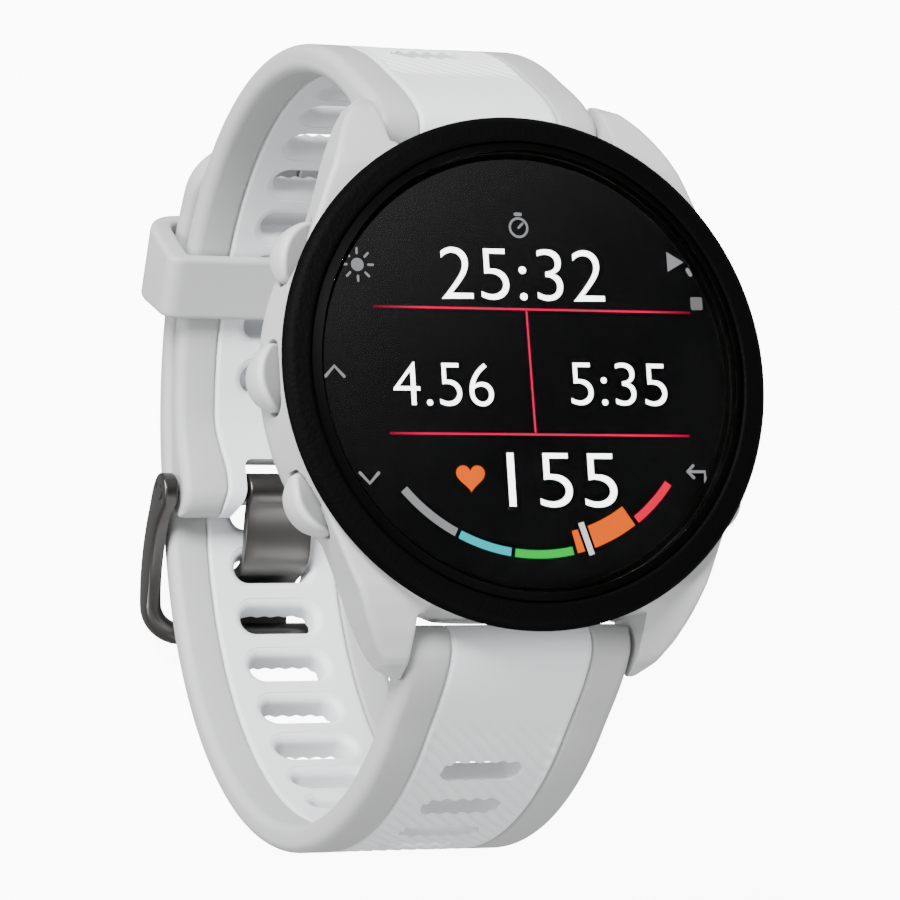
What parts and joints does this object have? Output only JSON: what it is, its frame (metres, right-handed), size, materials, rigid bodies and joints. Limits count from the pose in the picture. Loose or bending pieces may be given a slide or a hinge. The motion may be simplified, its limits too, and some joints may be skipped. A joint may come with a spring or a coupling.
{
  "type": "gps running watch",
  "caption": "Round digital running watch with side buttons, an optical wrist sensor and a buckled, slotted two-colour silicone strap closed in a loop.",
  "frame": {"origin": "centre of the flat outer face of the sensor window, which rests on the wrist", "axes": "+Z out of the dial, +Y towards 12 o'clock, +X towards 3 o'clock; the strap loop hangs below the case and turns about X"},
  "size_m": [0.0443, 0.0704, 0.0695],
  "materials": {
    "case_plastic": "fine matt, fibre-filled polymer, light grey",
    "bezel_black": "fine-grained black coating",
    "glass": "polished, dark",
    "seal_rubber": "matt",
    "display": "gloss black",
    "chassis_plastic": "matt",
    "circuit_board": "solder mask",
    "battery_foil": "satin foil",
    "copper_flex": "satin",
    "steel": "brushed",
    "brass_disc": "satin",
    "window_black": "gloss",
    "led_resin": "clear resin",
    "socket_black": "matt",
    "gold": "plated",
    "button_plastic": "satin light grey",
    "silicone_grey": "matt light grey silicone",
    "silicone_white": "matt white silicone",
    "gunmetal": "dark brushed steel"
  },
  "bodies": {
    "case": {"case_body": "case_plastic", "bezel": "bezel_black", "lens": "glass", "lens_seal": "seal_rubber", "display_panel": "display", "inner_chassis": "chassis_plastic", "main_board": "circuit_board", "battery": "battery_foil", "gps_antenna": "copper_flex", "vibration_motor": "steel", "buzzer": "brass_disc", "back_cover": "case_plastic", "back_seal": "seal_rubber", "back_screws": "steel", "sensor_window": "window_black", "sensor_board": "circuit_board", "sensor_leds": "led_resin", "charge_socket": "socket_black", "charge_contacts": "gold", "button_switches": "steel", "button_seals": "seal_rubber"},
    "light_button": {"light_button": "button_plastic", "light_clip": "steel"},
    "up_button": {"up_button": "button_plastic", "up_clip": "steel"},
    "down_button": {"down_button": "button_plastic", "down_clip": "steel"},
    "start_button": {"start_button": "button_plastic", "start_clip": "steel"},
    "back_button": {"back_button": "button_plastic", "back_clip": "steel"},
    "short_strap": {"short_strap_rails": "silicone_grey", "short_strap_core": "silicone_white", "top_spring_bar": "steel", "top_bar_spring": "steel", "buckle_pin": "gunmetal"},
    "top_release": {"top_release_pin": "steel"},
    "keeper": {"strap_keeper": "silicone_grey"},
    "buckle_frame": {"buckle_frame": "gunmetal"},
    "buckle_tongue": {"buckle_tongue": "gunmetal"},
    "long_strap": {"long_strap_rails": "silicone_grey", "long_strap_core": "silicone_white", "bottom_spring_bar": "steel", "bottom_bar_spring": "steel"},
    "bottom_release": {"bottom_release_pin": "steel"}
  },
  "joints": [
    {"name": "light_press", "type": "slide", "parent": "case", "child": "light_button", "axis": [0.866, -0.5, 0], "range_m": [0, 0.0005], "stiffness_N_per_m": 2000, "springref_m": -0.0002},
    {"name": "up_press", "type": "slide", "parent": "case", "child": "up_button", "axis": [1, 0, 0], "range_m": [0, 0.0005], "stiffness_N_per_m": 2000, "springref_m": -0.0002},
    {"name": "down_press", "type": "slide", "parent": "case", "child": "down_button", "axis": [0.866, 0.5, 0], "range_m": [0, 0.0005], "stiffness_N_per_m": 2000, "springref_m": -0.0002},
    {"name": "start_press", "type": "slide", "parent": "case", "child": "start_button", "axis": [-0.866, -0.5, 0], "range_m": [0, 0.0005], "stiffness_N_per_m": 2000, "springref_m": -0.0002},
    {"name": "back_press", "type": "slide", "parent": "case", "child": "back_button", "axis": [-0.866, 0.5, 0], "range_m": [0, 0.0005], "stiffness_N_per_m": 2000, "springref_m": -0.0002},
    {"name": "short_strap_sway", "type": "hinge", "parent": "case", "child": "short_strap", "pos_m": [0, 0.022, 0.0039], "axis": [1, 0, 0], "range_deg": [-0.3, 0.3], "stiffness_Nm_per_rad": 0.6},
    {"name": "long_strap_sway", "type": "hinge", "parent": "case", "child": "long_strap", "pos_m": [0, -0.022, 0.0039], "axis": [1, 0, 0], "range_deg": [-0.3, 0.3], "stiffness_Nm_per_rad": 0.6},
    {"name": "top_release_slide", "type": "slide", "parent": "short_strap", "child": "top_release", "axis": [1, 0, 0], "range_m": [0, 0.0013], "stiffness_N_per_m": 600, "springref_m": -0.001, "deforming": ["top_bar_spring"]},
    {"name": "bottom_release_slide", "type": "slide", "parent": "long_strap", "child": "bottom_release", "axis": [1, 0, 0], "range_m": [0, 0.0013], "stiffness_N_per_m": 600, "springref_m": -0.001, "deforming": ["bottom_bar_spring"]},
    {"name": "keeper_slide", "type": "hinge", "parent": "short_strap", "child": "keeper", "pos_m": [0, 0.0026, -0.0196], "axis": [1, 0, 0], "range_deg": [-14, 50]},
    {"name": "buckle_frame_swing", "type": "hinge", "parent": "short_strap", "child": "buckle_frame", "pos_m": [0, 0.00022, -0.04983], "axis": [1, 0, 0], "range_deg": [0, 1.5]},
    {"name": "buckle_tongue_swing", "type": "hinge", "parent": "buckle_frame", "child": "buckle_tongue", "pos_m": [0, 0.00022, -0.04983], "axis": [1, 0, 0], "range_deg": [0, 1.5]}
  ],
  "couplings": [
    {"joint": "short_strap_sway", "follows": "long_strap_sway", "ratio": 1}
  ]
}
